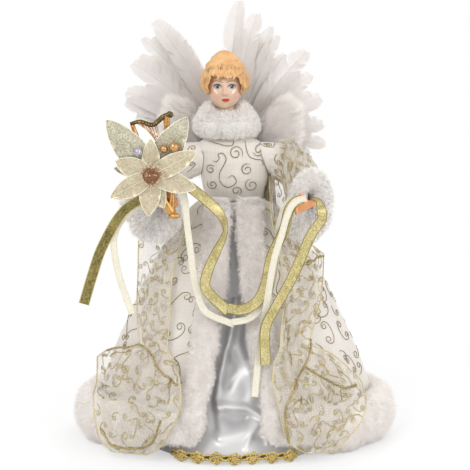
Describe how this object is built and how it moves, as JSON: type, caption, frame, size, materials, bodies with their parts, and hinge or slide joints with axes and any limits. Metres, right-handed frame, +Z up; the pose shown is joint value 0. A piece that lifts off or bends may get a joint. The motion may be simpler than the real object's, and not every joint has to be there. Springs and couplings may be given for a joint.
{
  "type": "christmas tree angel",
  "caption": "Tree topper angel: robed doll on an open cardboard cone, with feather wings, fur-trimmed coat, harp, fabric flower, ribbons and arms that tilt on wires.",
  "frame": {"origin": "on the surface that the angel stands on, under the middle of its bounding box", "axes": "+Z up, +X to the viewer's right; the doll faces -Y, so its right hand is at -X"},
  "size_m": [0.2298, 0.1697, 0.3049],
  "materials": {
    "cardboard": "matt",
    "creamRibbon": "cream satin ribbon",
    "down": "goose down",
    "feather": "goose feather",
    "flowerEye": "bronze beads",
    "fur": "long-pile plush",
    "gimp": "gold gimp braid",
    "goldBerry": "mirror gold",
    "goldRibbon": "metallic gold ribbon",
    "hair": "moulded strands, soft sheen",
    "handSkin": "flesh-coloured moulding",
    "harpGold": "gilded moulding",
    "leaf": "glittered sheer cloth",
    "organza": "sheer organza with gold edges",
    "padding": "matt cotton over fibre filling",
    "pearl": "silver pearl",
    "petal": "sheer pale gold cloth",
    "satin": "satin",
    "scrollCloth": "ivory cloth with embroidered scrolls",
    "skin": "painted face, soft sheen",
    "wire": "white paper-wrapped wire"
  },
  "bodies": {
    "doll": {"base_cone": "cardboard", "cone_cap": "cardboard", "torso": "padding", "head": "skin", "hair": "hair", "fur_collar": "fur", "bodice": "scrollCloth", "satin_underskirt": "satin", "gimp_trim": "gimp", "coat_skirt": "scrollCloth", "coat_hem_fur": "fur", "front_fur_right": "fur", "front_fur_left": "fur", "wing_card": "cardboard", "wing_right_short_feathers": "feather", "wing_right_long_feathers": "feather", "wing_right_down": "down", "wing_left_short_feathers": "feather", "wing_left_long_feathers": "feather", "wing_left_down": "down", "wing_patch": "padding", "stole_right": "organza", "stole_left": "organza"},
    "right_arm": {"arm_wire_right": "wire", "hand_right": "handSkin", "sleeve_right": "scrollCloth", "cuff_fur_right": "fur", "harp": "harpGold", "flower_eye": "flowerEye", "petal_1": "petal", "petal_2": "petal", "petal_3": "petal", "petal_4": "petal", "petal_5": "petal", "petal_6": "petal", "petal_7": "petal", "leaf_1": "leaf", "leaf_2": "leaf", "leaf_3": "leaf", "gold_berry_large": "goldBerry", "gold_berry_small": "goldBerry", "pearl_berry": "pearl", "gold_swag_right": "goldRibbon", "cream_swag_right": "creamRibbon", "gold_tail_right": "goldRibbon", "cream_tail_right": "creamRibbon"},
    "left_arm": {"arm_wire_left": "wire", "hand_left": "handSkin", "sleeve_left": "scrollCloth", "cuff_fur_left": "fur", "gold_swag_left": "goldRibbon", "cream_swag_left": "creamRibbon", "gold_tail_left": "goldRibbon", "cream_tail_left": "creamRibbon"}
  },
  "joints": [
    {"name": "right_arm_tilt", "type": "hinge", "parent": "doll", "child": "right_arm", "pos_m": [-0.0257, 0, 0.1978], "axis": [-1, 0, 0], "range_deg": [-4, 12], "deforming": ["gold_swag_right", "cream_swag_right", "gold_tail_right", "cream_tail_right", "stole_right"]},
    {"name": "left_arm_tilt", "type": "hinge", "parent": "doll", "child": "left_arm", "pos_m": [0.0234, 0, 0.1978], "axis": [-1, 0, 0], "range_deg": [-4, 12], "deforming": ["gold_swag_left", "cream_swag_left", "gold_tail_left", "cream_tail_left", "stole_left"]}
  ]
}
